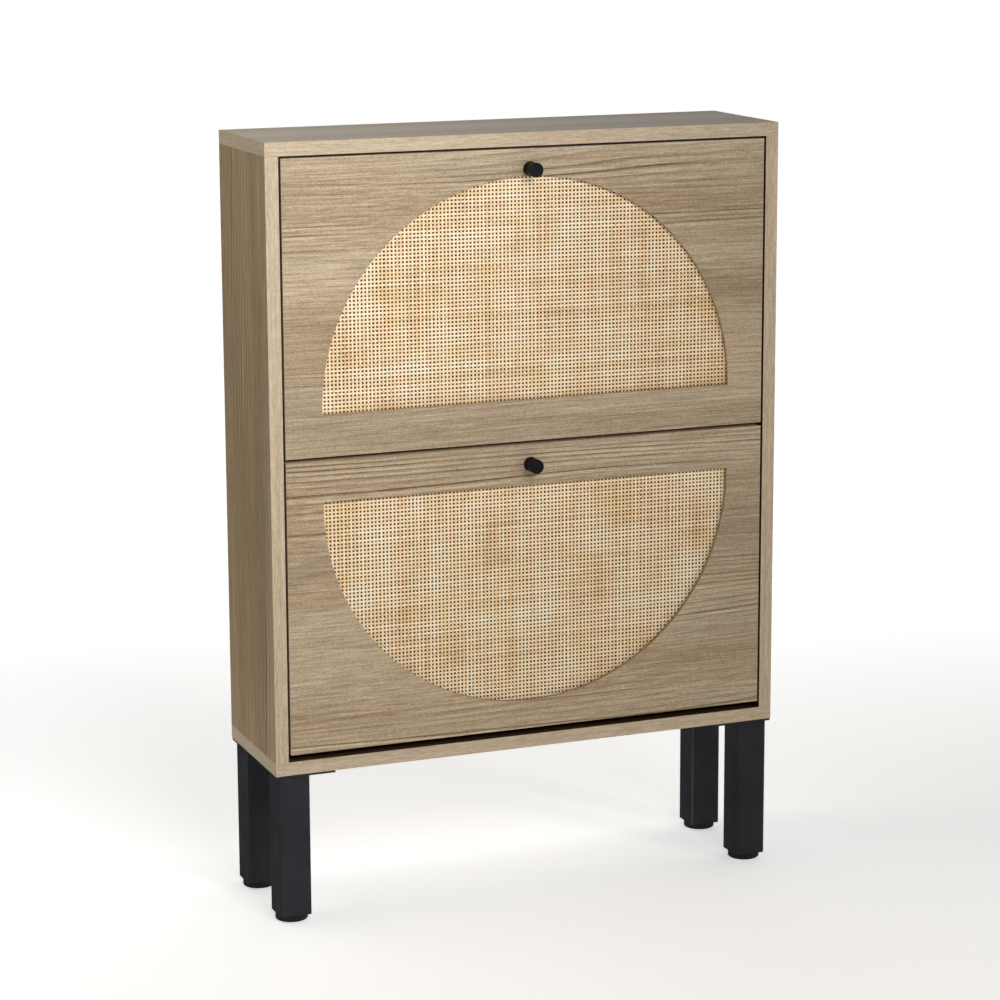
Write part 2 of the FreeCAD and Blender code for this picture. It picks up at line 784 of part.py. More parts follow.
for name, flap in FLAPS.items():
    straight_edge = d.cane_margin if flap.rises > 0 else flap.height - d.cane_margin
    door_panel(f"{name}_door_panel", flap, straight_edge)
    inset_sheet(f"{name}_cane_webbing", flap, straight_edge, d.cane_recess, d.cane_thickness)
    behind_cane = d.cane_recess + d.cane_thickness
    inset_sheet(f"{name}_cane_backing", flap, straight_edge, behind_cane, d.cane_backing)
    knob_height = flap.base + flap.height - d.knob_inset
    knob(f"{name}_knob", knob_height)
    knob_screw(f"{name}_knob_screw", knob_height)
    for side, sign in SIDES.items():
        rack_bracket(f"{name}_{side}_rack_bracket", sign, flap)
    floor_base = flap.base + d.bracket_bottom + d.ledge
    rack_x = -bracket_inner
    rack_floor = box(
        2 * bracket_inner, d.rack_depth, d.rack_board, (rack_x, flap_back + d.ledge, floor_base)
    )
    node(f"{name}_rack_floor", rack_floor)
    back_height = d.bracket_rear_height - d.ledge - d.rack_board
    back_at = (rack_x, rack_rear - d.rack_board, floor_base + d.rack_board)
    node(f"{name}_rack_back", box(2 * bracket_inner, d.rack_board, back_height, back_at))
    node(f"{name}_bracket_screws", group(bracket_screws(flap)))
    node(f"{name}_pivot_pins", group(pivot_pins(flap)))


# Checking and writing -----------------------------------------------------------------------------

doc.recompute()
for thing in doc.Objects:
    if "Invalid" in thing.State or "Error" in thing.State:
        raise RuntimeError(f"{thing.Label} ({thing.Name}) failed: {thing.State}")
for label, solid in nodes.items():
    if solid.Shape.isNull() or not solid.Shape.isValid() or not solid.Shape.Solids:
        raise RuntimeError(f"{label} has no valid shape")

os.makedirs("parts", exist_ok=True)
for label, solid in nodes.items():
    solid.Shape.exportStep(f"parts/{label}.step")
print(len(nodes), "sub-parts written")
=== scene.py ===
"""Looks of the slim shoe cabinet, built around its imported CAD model.

Metres. +X is to the right, +Z is up and the front faces -Y, as in the CAD model.
"""

import json
import math
import random

import bmesh
import bpy
from mathutils import Matrix, Vector


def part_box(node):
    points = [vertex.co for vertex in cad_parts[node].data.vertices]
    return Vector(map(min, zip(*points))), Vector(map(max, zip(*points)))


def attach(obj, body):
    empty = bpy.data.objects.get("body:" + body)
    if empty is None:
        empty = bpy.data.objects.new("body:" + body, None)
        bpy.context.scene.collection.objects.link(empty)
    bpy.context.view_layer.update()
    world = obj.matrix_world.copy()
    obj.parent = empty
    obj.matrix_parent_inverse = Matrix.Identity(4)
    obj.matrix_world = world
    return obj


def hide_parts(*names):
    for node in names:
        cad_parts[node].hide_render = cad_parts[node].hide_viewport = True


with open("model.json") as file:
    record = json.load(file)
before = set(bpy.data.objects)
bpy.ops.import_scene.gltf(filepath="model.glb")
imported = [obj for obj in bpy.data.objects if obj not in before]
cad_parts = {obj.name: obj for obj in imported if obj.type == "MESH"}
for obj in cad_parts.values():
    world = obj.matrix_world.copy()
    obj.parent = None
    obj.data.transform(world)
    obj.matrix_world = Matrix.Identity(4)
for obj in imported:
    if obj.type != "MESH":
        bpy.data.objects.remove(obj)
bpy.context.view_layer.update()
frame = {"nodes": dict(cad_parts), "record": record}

BODY_OF = {
    node: body
    for body, members in frame["record"]["behaviour"]["bodies"].items()
    for node in members
}
FLAPS = ("upper", "lower")
SIDES = ("left", "right")
LEGS = ("front_left", "front_right", "rear_left", "rear_right")

FRONT = Vector((0, -1, 0))
UP = Vector((0, 0, 1))
CABINET_MIDDLE = Vector((0, 0, 0.515))
# Points closer than this are one point.
WELD = 1e-6
FLAT_ANGLE = math.radians(0.5)
CORNER_ANGLE = math.radians(28)
SHARP_ANGLE = math.radians(35)


# Materials --------------------------------------------------------------------------------------


def colour(red, green, blue):
    """A colour given as on a screen, from 0 to 255, as linear light."""
    def linear(level):
        share = level / 255
        return share / 12.92 if share <= 0.04045 else ((share + 0.055) / 1.055) ** 2.4

    return (linear(red), linear(green), linear(blue), 1.0)


class Look:
    """A material whose colour, roughness and bump come from its nodes."""

    def __init__(self, name, constants=()):
        self.material = bpy.data.materials.new(name)
        self.material.use_nodes = True
        self.tree = self.material.node_tree
        self.surface = self.tree.nodes["Principled BSDF"]
        for socket, value in dict(constants).items():
            self.surface.inputs[socket].default_value = value
        self.place = self.add("TexCoord", output="Object")

    def add(self, kind, inputs=(), output=0, **settings):
        made = self.tree.nodes.new("ShaderNode" + kind)
        for setting, value in settings.items():
            setattr(made, setting, value)
        for socket, value in dict(inputs).items():
            self.feed(made.inputs[socket], value)
        return made.outputs[output]

    def feed(self, socket, value):
        if isinstance(value, bpy.types.NodeSocket):
            self.tree.links.new(value, socket)
        else:
            socket.default_value = value

    def math(self, operation, *values):
        return self.add("Math", dict(enumerate(values)), operation=operation)

    def vector(self, operation, *values):
        return self.add("VectorMath", dict(enumerate(values)), operation=operation)

    def noise(self, place, seed=0.0, detail=2.0, output="Fac"):
        """Noise of about one bump per unit of a place that is already scaled."""
        inputs = {"Vector": place, "W": seed, "Scale": 1.0, "Detail": detail}
        return self.add("TexNoise", inputs, output, noise_dimensions="4D")

    def scaled(self, per_metre, place=None):
        scale = per_metre if isinstance(per_metre, tuple) else (per_metre,) * 3
        return self.vector("MULTIPLY", place or self.place, scale)

    def step(self, value, low, high, start=0.0, end=1.0):
        """A smooth step of value from low to high, given as a number from start to end."""
        inputs = {"Value": value, "From Min": low, "From Max": high, "To Min": start, "To Max": end}
        return self.add("MapRange", inputs, interpolation_type="SMOOTHSTEP")

    def sum(self, *parts):
        """One half, plus how far each value is from one half times its weight."""
        total = 0.5 - sum(weight for value, weight in parts) / 2
        for value, weight in parts:
            total = self.math("MULTIPLY_ADD", value, weight, total)
        return total

    def ramp(self, value, *stops):
        """A colour ramp through (position, colour) stops."""
        made = self.tree.nodes.new("ShaderNodeValToRGB")
        elements = made.color_ramp.elements
        while len(elements) < len(stops):
            elements.new(0.5)
        for element, (position, shade) in zip(elements, stops):
            element.position = position
            element.color = shade
        self.feed(made.inputs[0], value)
        return made.outputs[0]

    def mix(self, share, first, second, blend="MIX"):
        inputs = {0: share, 6: first, 7: second}
        return self.add("Mix", inputs, 2, data_type="RGBA", blend_type=blend)

    def rim(self):
        """1 along the middle of each rounded edge, and 0 on the faces beside it."""
        return self.add("Attribute", output="Fac", attribute_name="rim")

    def finish(self, shade, roughness, height, depth):
        """Joins colour, roughness and a bump of that depth in metres to the surface."""
        bump = self.add("Bump", {"Height": height, "Distance": depth, "Strength": 1.0}, "Normal")
        for socket, value in (("Base Color", shade), ("Roughness", roughness), ("Normal", bump)):
            self.feed(self.surface.inputs[socket], value)
        return self.material


def spread(grain, across, along):
    """How dense a texture is on each axis: along on the grain's axis, and across on the others."""
    return tuple(along if axis == grain else across for axis in "xyz")


RINGS_PER_METRE = 165
RING_WARP = 9.0


def oak(name, grain, seed, shades):
    """Oak print on a board's face: broad bands, bold year rings, long fibres and specks."""
    look = Look(name, {"Specular IOR Level": 0.2})
    sway = look.noise(look.scaled(spread(grain, 5, 1.6)), seed, detail=1.0, output="Color")
    bend = look.vector("SUBTRACT", sway, (0.5, 0.5, 0.5))
    bent = look.vector("MULTIPLY_ADD", bend, (0.03, 0.03, 0.03), look.place)
    bands = look.noise(look.scaled(spread(grain, 16, 0.8), bent), seed + 1)
    height = look.add(
        "VectorMath",
        {0: look.place, 1: spread(grain, RINGS_PER_METRE, 0.0)},
        "Value",
        operation="DOT_PRODUCT",
    )
    warp = look.noise(look.scaled(spread(grain, 13, 1.8), bent), seed + 2, detail=0.6)
    depth = look.math("MULTIPLY_ADD", warp, RING_WARP, height)
    ring = look.math("FRACT", depth)
    late_wood = look.math("POWER", look.step(ring, 0.2, 0.92), 2.0)
    late_wood = look.math("SUBTRACT", late_wood, look.step(ring, 0.92, 1.0))
    strength = look.add("TexWhiteNoise", {"W": look.math("FLOOR", depth)}, noise_dimensions="1D")
    strength = look.math("MULTIPLY_ADD", look.math("POWER", strength, 2.0), 0.9, 0.15)
    patches = look.noise(look.scaled(spread(grain, 9, 2.0)), seed + 3, detail=1.0)
    patches = look.step(patches, 0.46, 0.62, 0.15, 1.2)
    lines = look.noise(look.scaled(spread(grain, 700, 7), bent), seed + 4, detail=3.0)
    fibres = look.noise(look.scaled(spread(grain, 1300, 30), bent), seed + 5, detail=2.0)
    specks = look.noise(look.scaled(spread(grain, 1100, 380)), seed + 6, detail=4.0)
    pores = look.noise(look.scaled(spread(grain, 1900, 170)), seed + 8, detail=1.0)
    pores = look.step(pores, 0.6, 0.68)
    bold = look.math("MULTIPLY", look.math("SUBTRACT", 0.25, late_wood), patches)
    bold = look.math("MULTIPLY_ADD", bold, strength, 0.5)
    coarse = ((bands, 0.6), (bold, 0.62), (lines, 0.75))
    fine = ((fibres, 0.6), (specks, 0.7), (pores, -0.16))
    tone = look.sum(*coarse, *fine)
    dark, middle, light = shades
    shade = look.ramp(tone, (0.1, dark), (0.5, middle), (0.9, light))
    hue = look.step(look.noise(look.scaled(spread(grain, 12, 1.1), bent), seed + 7), 0.4, 0.65)
    warm = tuple(a * b for a, b in zip(middle, (1.05, 0.97, 0.94, 1.0)))
    shade = look.mix(look.math("MULTIPLY", hue, 0.3), shade, warm, "SOFT_LIGHT")
    # Painted highlight: the oak goes lighter along its rounded edges.
    shade = look.mix(look.math("MULTIPLY", look.rim(), 0.35), shade, light)
    roughness = look.step(tone, 0.2, 0.8, 0.68, 0.54)
    return look.finish(shade, roughness, look.sum((fibres, 0.5), (lines, 0.5)), 0.00006)


def oak_band(name, grain, seed, shades):
    """The thin printed band on a board's edge, with short dashes along its length."""
    look = Look(name, {"Specular IOR Level": 0.2})
    dashes = look.noise(look.scaled(spread(grain, 780, 75)), seed, detail=2.0)
    dots = look.noise(look.scaled(spread(grain, 1100, 420)), seed + 1, detail=1.0)
    bands = look.noise(look.scaled(spread(grain, 260, 3)), seed + 2, detail=2.0)
    tone = look.sum((dashes, 0.75), (dots, 0.5), (bands, 0.35))
    dark, middle, light = shades
    shade = look.ramp(tone, (0.1, dark), (0.5, middle), (0.9, light))
    # Painted highlight: the band goes lighter along its rounded edges.
    shade = look.mix(look.math("MULTIPLY", look.rim(), 0.4), shade, light)
    return look.finish(shade, look.step(tone, 0.2, 0.8, 0.66, 0.54), dashes, 0.00005)


def chipboard():
    """The pressed chips inside a board, where it is cut."""
    look = Look("chipboard_core", {"Specular IOR Level": 0.2})
    chips = look.add("TexVoronoi", {"Vector": look.scaled((420, 300, 650)), "Scale": 1.0}, "Color")
    chips = look.add("SeparateColor", {"Color": chips}, "Red")
    dust = look.noise(look.scaled(1800), detail=3.0)
    tone = look.sum((chips, 0.7), (dust, 0.8))
    shade = look.ramp(
        tone, (0.1, colour(86, 63, 40)), (0.5, colour(136, 106, 72)), (0.9, colour(176, 146, 106))
    )
    return look.finish(shade, look.step(dust, 0.2, 0.8, 0.95, 0.8), tone, 0.0003)


SCREEN_PITCH = 0.0016


def hardboard(name, shades):
    """Pressed fibre: smooth, with a fine screen pattern on the faces that look to the wall."""
    look = Look(name, {"Specular IOR Level": 0.1})
    clouds = look.noise(look.scaled(40), detail=3.0)
    fibres = look.noise(look.scaled(900), 3.0, detail=3.0)
    tone = look.sum((clouds, 0.5), (fibres, 0.8))
    dark, middle, light = shades
    shade = look.ramp(tone, (0.15, dark), (0.5, middle), (0.9, light))
    screen = look.vector("SINE", look.scaled(2 * math.pi / SCREEN_PITCH))
    lines = look.add("SeparateXYZ", {"Vector": screen}, "X")
    rows = look.add("SeparateXYZ", {"Vector": screen}, "Z")
    normal = look.add("TexCoord", output="Normal")
    to_wall = look.add("SeparateXYZ", {"Vector": normal}, "Y")
    pits = look.math("MULTIPLY", look.math("MULTIPLY", lines, rows), look.step(to_wall, 0.5, 0.9))
    height = look.math("MULTIPLY_ADD", pits, 0.5, fibres)
    return look.finish(shade, look.step(clouds, 0.3, 0.7, 0.62, 0.8), height, 0.0001)


def cane(name, run, pitch, seed):
    """Split rattan that runs along an axis. Each strand has its own tint, with darker and pinker
    stretches, and fine fibres along its length."""
    across = "z" if run == "x" else "x"
    look = Look(name, {"Specular IOR Level": 0.5})
    coordinate = look.add("SeparateXYZ", {"Vector": look.place}, across.upper())
    strand = look.math("ROUND", look.math("DIVIDE", coordinate, pitch))
    strand_number = look.math("ADD", strand, seed)
    strand_tint = look.add("TexWhiteNoise", {"W": strand_number}, noise_dimensions="1D")
    stretches = look.noise(look.scaled(spread(run, 0.55 / pitch, 14)), seed + 1, detail=2.0)
    clouds = look.noise(look.scaled(17), seed + 2, detail=2.0)
    fibres = look.noise(look.scaled(spread(run, 4200, 90)), seed + 3, detail=2.0)
    tone = look.sum((stretches, 0.75), (clouds, 0.7), (strand_tint, 0.3), (fibres, 0.3))
    shade = look.ramp(
        tone,
        (0.08, colour(214, 173, 118)),
        (0.34, colour(242, 211, 163)),
        (0.52, colour(254, 230, 189)),
        (0.7, colour(255, 240, 207)),
        (0.92, colour(255, 250, 231)),
    )
    rosy = look.step(look.noise(look.scaled(spread(run, 0.8 / pitch, 22)), seed + 4), 0.56, 0.74)
    shade = look.mix(look.math("MULTIPLY", rosy, 0.55), shade, colour(231, 176, 134))
    golden = look.step(look.noise(look.scaled(26), seed + 5), 0.52, 0.7)
    shade = look.mix(look.math("MULTIPLY", golden, 0.35), shade, colour(240, 208, 140))
    marks = look.noise(look.scaled(spread(run, 0.9 / pitch, 120)), seed + 6, detail=1.0)
    marks = look.step(marks, 0.68, 0.8)
    shade = look.mix(look.math("MULTIPLY", marks, 0.6), shade, colour(150, 98, 55))
    return look.finish(shade, look.step(tone, 0.2, 0.8, 0.55, 0.4), fibres, 0.00006)


def coated(name, shades, peel, roughness, gloss):
    """A black finish with that many fine bumps per metre, lighter along its edges: partly edge
    wear, partly a painted highlight.
    """
    look = Look(name, {"Specular IOR Level": gloss})
    grain = look.noise(look.scaled(peel), detail=2.0)
    clouds = look.noise(look.scaled(22), 2.0, detail=3.0)
    tone = look.sum((grain, 0.6), (clouds, 0.7))
    dark, middle, worn_and_lit_edge = shades
    shade = look.ramp(tone, (0.2, dark), (0.8, middle))
    # Painted highlight mixed with edge wear: the colour goes lighter along each rounded edge.
    shade = look.mix(look.math("MULTIPLY", look.rim(), 0.5), shade, worn_and_lit_edge)
    low, high = roughness
    return look.finish(shade, look.step(clouds, 0.3, 0.7, high, low), grain, 0.00005)


def nylon():
    look = Look("natural_nylon", {"Specular IOR Level": 0.5, "Subsurface Weight": 0.15})
    look.surface.inputs["Subsurface Radius"].default_value = (0.002, 0.002, 0.0015)
    clouds = look.noise(look.scaled(120), detail=2.0)
    skin = look.noise(look.scaled(2400), 1.0, detail=1.0)
    shade = look.ramp(clouds, (0.3, colour(222, 218, 204)), (0.7, colour(238, 235, 226)))
    return look.finish(shade, look.step(clouds, 0.3, 0.7, 0.42, 0.52), skin, 0.00002)


def zinc():
    """Bright zinc plate, a little clouded and scuffed."""
    look = Look("zinc_plate", {"Metallic": 1.0})
    clouds = look.noise(look.scaled(260), detail=3.0)
    scuffs = look.noise(look.scaled((3000, 3000, 500)), 1.0, detail=2.0)
    shade = look.ramp(clouds, (0.3, colour(178, 178, 172)), (0.7, colour(214, 214, 208)))
    # Painted highlight: the plate goes lighter along its rounded edges.
    shade = look.mix(look.math("MULTIPLY", look.rim(), 0.4), shade, colour(232, 232, 228))
    return look.finish(shade, look.step(clouds, 0.3, 0.7, 0.42, 0.28), scuffs, 0.00002)


def beech():
    look = Look("beech_dowel", {"Specular IOR Level": 0.25})
    fibres = look.noise(look.scaled(spread("z", 1400, 60)), detail=2.0)
    flecks = look.step(look.noise(look.scaled(spread("z", 900, 180)), 1.0), 0.6, 0.75)
    shade = look.ramp(fibres, (0.25, colour(190, 150, 108)), (0.75, colour(222, 187, 145)))
    shade = look.mix(look.math("MULTIPLY", flecks, 0.5), shade, colour(150, 104, 66))
    return look.finish(shade, look.step(fibres, 0.3, 0.7, 0.75, 0.6), fibres, 0.0001)


FACE_SHADES = (colour(110, 90, 66), colour(167, 148, 121), colour(218, 201, 174))
# Painted reflection: the outer faces of the top and bottom panels get greyer, flatter shades than
# the front, standing in for the sheen of light grazing the top.
TOP_SHADES = (colour(142, 132, 117), colour(159, 150, 136), colour(176, 167, 153))
# Painted shade: the side panels' outer faces get darker, warmer shades than the front, for the
# lesser light that falls on them.
SIDE_SHADES = (colour(114, 93, 63), colour(160, 136, 100), colour(202, 179, 140))
# Painted shadow: the faces inside the cabinet get dark shades, so the gaps round the doors read
# black.
INSIDE_SHADOW_SHADES = (colour(48, 36, 25), colour(74, 58, 43), colour(98, 80, 62))
BAND_SHADES = (colour(152, 132, 106), colour(197, 178, 151), colour(232, 216, 192))

core = chipboard()
brown_shades = (colour(76, 50, 27), colour(103, 72, 42), colour(133, 98, 62))
brown_board = hardboard("hardboard_brown", brown_shades)
# Painted shade: the cane backing is a darker, more saturated copy of the hardboard, so the holes
# between the strands read dark.
dark_shades = (colour(60, 33, 6), colour(84, 50, 10), colour(104, 68, 20))
dark_board = hardboard("hardboard_dark", dark_shades)
fibre_shades = (colour(150, 124, 92), colour(184, 159, 126), colour(208, 186, 154))
fibre_board = hardboard("fibreboard_core", fibre_shades)
# The third shade of each black finish is its lighter edge colour: partly wear, partly a painted
# highlight.
steel_shades = (colour(43, 43, 46), colour(61, 61, 66), colour(90, 90, 95))
steel = coated("powder_coat", steel_shades, 1500, (0.66, 0.76), 0.01)
knob_shades = (colour(13, 13, 15), colour(20, 21, 25), colour(52, 52, 58))
matt_black = coated("knob_black", knob_shades, 3200, (0.45, 0.55), 0.12)
plastic_shades = (colour(27, 27, 28), colour(38, 38, 40), colour(58, 58, 60))
plastic = coated("moulded_black", plastic_shades, 2600, (0.5, 0.66), 0.2)
white_nylon = nylon()
zinc_plate = zinc()
dry_beech = beech()


# Mesh helpers -----------------------------------------------------------------------------------


def cad_mesh(node):
    """A CAD node's mesh, with its triangles merged back into whole faces."""
    bm = bmesh.new()
    bm.from_mesh(frame["nodes"][node].data)
    bmesh.ops.remove_doubles(bm, verts=bm.verts, dist=WELD)
    bmesh.ops.dissolve_limit(bm, angle_limit=FLAT_ANGLE, verts=bm.verts, edges=bm.edges)
    return bm


def corner_edges(bm, chosen=None):
    edges = [
        edge for edge in bm.edges if edge.is_manifold and edge.calc_face_angle() > CORNER_ANGLE
    ]
    return [edge for edge in edges if chosen is None or chosen(edge)]


def round_edges(bm, width, segments=2, chosen=None):
    """Rounds the corners, and marks the middle of each rounding, where materials paint the edge
    lighter: a painted highlight, and on the black finishes also edge wear.
    """
    rim = bm.verts.layers.float.get("rim") or bm.verts.layers.float.new("rim")
    made = bmesh.ops.bevel(
        bm,
        geom=corner_edges(bm, chosen),
        offset=width,
        segments=segments,
        profile=0.5,
        affect="EDGES",
        clamp_overlap=True,
    )
    rounded = set(made["faces"])
    for face in rounded:
        for vert in face.verts:
            if all(other in rounded for other in vert.link_faces):
                vert[rim] = 1.0


def named_piece(name, bm, materials, body, stands_for=()):
    """Turns a bmesh into a smooth-shaded piece that rides on a body."""
    mesh = bpy.data.meshes.new(name)
    bmesh.ops.recalc_face_normals(bm, faces=bm.faces)
    for face in bm.faces:
        face.smooth = True
    bm.to_mesh(mesh)
    bm.free()
    mesh.set_sharp_from_angle(angle=SHARP_ANGLE)
    for material in materials:
        mesh.materials.append(material)
    piece = bpy.data.objects.new(name, mesh)
    bpy.context.scene.collection.objects.link(piece)
    weighted = piece.modifiers.new("even_faces", "WEIGHTED_NORMAL")
    weighted.keep_sharp = True
    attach(piece, body)
    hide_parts(*stands_for)
    return piece


def loose_boxes(node):
    """The lowest and highest corners of each separate solid in a CAD node."""
    bm = bmesh.new()
    bm.from_mesh(frame["nodes"][node].data)
    bmesh.ops.remove_doubles(bm, verts=bm.verts, dist=WELD)
    unseen = set(bm.verts)
    boxes = []
    while unseen:
        heap = [unseen.pop()]
        points = []
        while heap:
            vert = heap.pop()
            points.append(vert.co.copy())
            for edge in vert.link_edges:
                other = edge.other_vert(vert)
                if other in unseen:
                    unseen.remove(other)
                    heap.append(other)
        low = Vector(min(point[axis] for point in points) for axis in range(3))
        high = Vector(max(point[axis] for point in points) for axis in range(3))
        boxes.append((low, high))
    bm.free()
    return sorted(boxes, key=lambda box: tuple(round(value, 5) for value in box[0]))


def ring_of(bm, radius, height, segments):
    points = []
    for step in range(segments):
        angle = 2 * math.pi * step / segments
        points.append(bm.verts.new((radius * math.cos(angle), radius * math.sin(angle), height)))
    return points


def bridge(bm, lower, upper):
    for step, vert in enumerate(lower):
        following = (step + 1) % len(lower)
        bm.faces.new((vert, lower[following], upper[following], upper[step]))


def lathe(bm, profile, segments):
    """A closed solid turned about Z from (radius, height) points. Its two ends are flat discs."""
    rings = [ring_of(bm, radius, height, segments) for radius, height in profile]
    for lower, upper in zip(rings, rings[1:]):
        bridge(bm, lower, upper)
    bm.faces.new(list(reversed(rings[0])))
    bm.faces.new(rings[-1])


def arc(centre_radius, centre_height, radius, start, end, steps=5):
    """(radius, height) points of a profile's rounded corner, between two angles in degrees."""
    points = []
    for step in range(steps + 1):
        angle = math.radians(start + (end - start) * step / steps)
        points.append(
            (centre_radius + radius * math.cos(angle), centre_height + radius * math.sin(angle))
        )
    return points


def helix(bm, crest, root, pitch, start, end, segments):
    """A screw thread about Z as one closed solid, whose root and crest wind together."""
    steps = round((end - start - pitch) / pitch * segments)

    def line(radius, lift, count):
        verts = []
        for step in range(count):
            angle = 2 * math.pi * step / segments
            height = start + pitch * step / segments + lift
            verts.append(bm.verts.new((radius * math.cos(angle), radius * math.sin(angle), height)))
        return verts

    roots = line(root, 0.0, steps + segments + 1)
    crests = line(crest, pitch / 2, steps + 1)
    for step in range(steps):
        bm.faces.new((roots[step], roots[step + 1], crests[step + 1], crests[step]))
        after = step + segments
        bm.faces.new((crests[step], crests[step + 1], roots[after + 1], roots[after]))
    for first, height in ((0, start), (steps, end)):
        loop = [roots[first + step] for step in range(segments + 1)] + [crests[first]]
        middle = bm.verts.new((0, 0, height))
        for step, vert in enumerate(loop):
            bm.faces.new((middle, vert, loop[(step + 1) % len(loop)]))


def turned_to(direction, at):
    """The matrix that stands something made along Z on a point, pointing in a direction."""
    turn = Vector(direction).to_track_quat("Z", "Y").to_matrix().to_4x4()
    return Matrix.Translation(at) @ turn


# Boards -----------------------------------------------------------------------------------------


BOARD_ROUNDING = 0.0006
# A face counts as an outer one within this distance of the box round its board.
ON_THE_OUTSIDE = 1e-5


def board(name, node, coverings, inside=None, bare=core):
    """A board with a covering on its outer faces that look along some axes, and bare elsewhere.
    The faces that look up, down or sideways into the cabinet can have a covering of their own."""
    bm = cad_mesh(node)
    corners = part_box(node)
    middle = (corners[0] + corners[1]) / 2
    materials = [bare] + list(coverings.values()) + ([inside] if inside else [])
    for face in bm.faces:
        centre = face.calc_center_median()
        for axis, letter in enumerate("xyz"):
            depth = min(abs(centre[axis] - corner[axis]) for corner in corners)
            outside = depth < ON_THE_OUTSIDE and abs(face.normal[axis]) > 0.99
            if outside and letter in coverings:
                face.material_index = 1 + list(coverings).index(letter)
        # Painted shadow: faces that look into the cabinet take the dark inside covering.
        if inside and face.normal.dot(CABINET_MIDDLE - middle) > 0.1 and abs(face.normal.y) < 0.5:
            face.material_index = len(materials) - 1
    round_edges(bm, BOARD_ROUNDING)
    return named_piece(name, bm, materials, BODY_OF[node], [node])


band_x = oak_band("oak_band_x", "x", 3.0, BAND_SHADES)
band_y = oak_band("oak_band_y", "y", 5.0, BAND_SHADES)
band_z = oak_band("oak_band_z", "z", 7.0, BAND_SHADES)
# Painted shadow: dark oak for the faces inside the cabinet.
inside_shadow_x = oak("oak_inside_x", "x", 150.0, INSIDE_SHADOW_SHADES)
inside_shadow_z = oak("oak_inside_z", "z", 160.0, INSIDE_SHADOW_SHADES)

for seed, side in enumerate(SIDES):
    face = oak(f"oak_{side}_side", "z", 20.0 + 10 * seed, SIDE_SHADES)
    board(f"oak_{side}_side", f"{side}_side_panel", {"x": face, "y": band_z}, inside_shadow_z)
for seed, level in enumerate(("top", "bottom")):
    face = oak(f"oak_{level}", "x", 40.0 + 10 * seed, TOP_SHADES)
    board(f"oak_{level}", f"{level}_panel", {"x": band_y, "y": band_x, "z": face}, inside_shadow_x)
# The divider's faces and front edge all take the painted shadow of the inside.
board("oak_divider", "middle_divider", {"y": inside_shadow_x, "z": inside_shadow_x})
for seed, flap in enumerate(FLAPS):
    face = oak(f"oak_{flap}_door", "x", 80.0 + 10 * seed, FACE_SHADES)
    door_coverings = {"x": band_z, "y": face, "z": band_x}
    board(f"oak_{flap}_door", f"{flap}_door_panel", door_coverings, bare=fibre_board)
    rack_face = oak(f"oak_{flap}_rack", "x", 120.0 + 10 * seed, FACE_SHADES)
    board(f"oak_{flap}_rack_floor", f"{flap}_rack_floor", {"y": band_x, "z": rack_face})
    board(f"oak_{flap}_rack_back", f"{flap}_rack_back", {"y": rack_face, "z": band_x})


# Cane insets ------------------------------------------------------------------------------------

CANE_PITCH = {"x": 0.00433, "z": 0.00428}
STRAND_WIDTH = 0.00215
STRAND_THICKNESS = 0.0003
# How far a strand rises and falls from the middle of the sheet.
STRAND_LIFT = 0.0003
# How far strands stay inside the outline, lie off their place, and wander along their length.
STRAND_INSET = 0.0003
STRAND_STRAY = 0.00012
STRAND_WANDER = (0.00003, 0.0001)
WANDERS_PER_METRE = 40
# A strand's section, as shares of its width and thickness: flat, with thin sides.
STRAND_SECTION = ((-0.5, 0), (-0.34, -0.5), (0.34, -0.5), (0.5, 0), (0.34, 0.5), (-0.34, 0.5))


def half_round(node, rises):
    """The height of the middle, the radius and the height of the straight edge of a cane sheet."""
    low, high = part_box(node)
    radius = (high.x - low.x) / 2
    centre = high.z - radius if rises > 0 else low.z + radius
    edge = low.z if rises > 0 else high.z
    return centre, radius, edge


def strand_span(run, coordinate, outline, rises):
    """Where a strand enters and leaves the outline, or None outside it."""
    centre, radius, edge = outline
    reach = radius - STRAND_INSET
    if run == "z":
        if abs(coordinate) >= reach:
            return None
        tip = centre + rises * math.sqrt(reach**2 - coordinate**2)
        base = edge + rises * STRAND_INSET
        return (min(base, tip), max(base, tip)) if (tip - base) * rises > 0 else None
    if (coordinate - edge) * rises < STRAND_INSET or abs(coordinate - centre) >= reach:
        return None
    half = math.sqrt(reach**2 - (coordinate - centre) ** 2)
    return (-half, half)


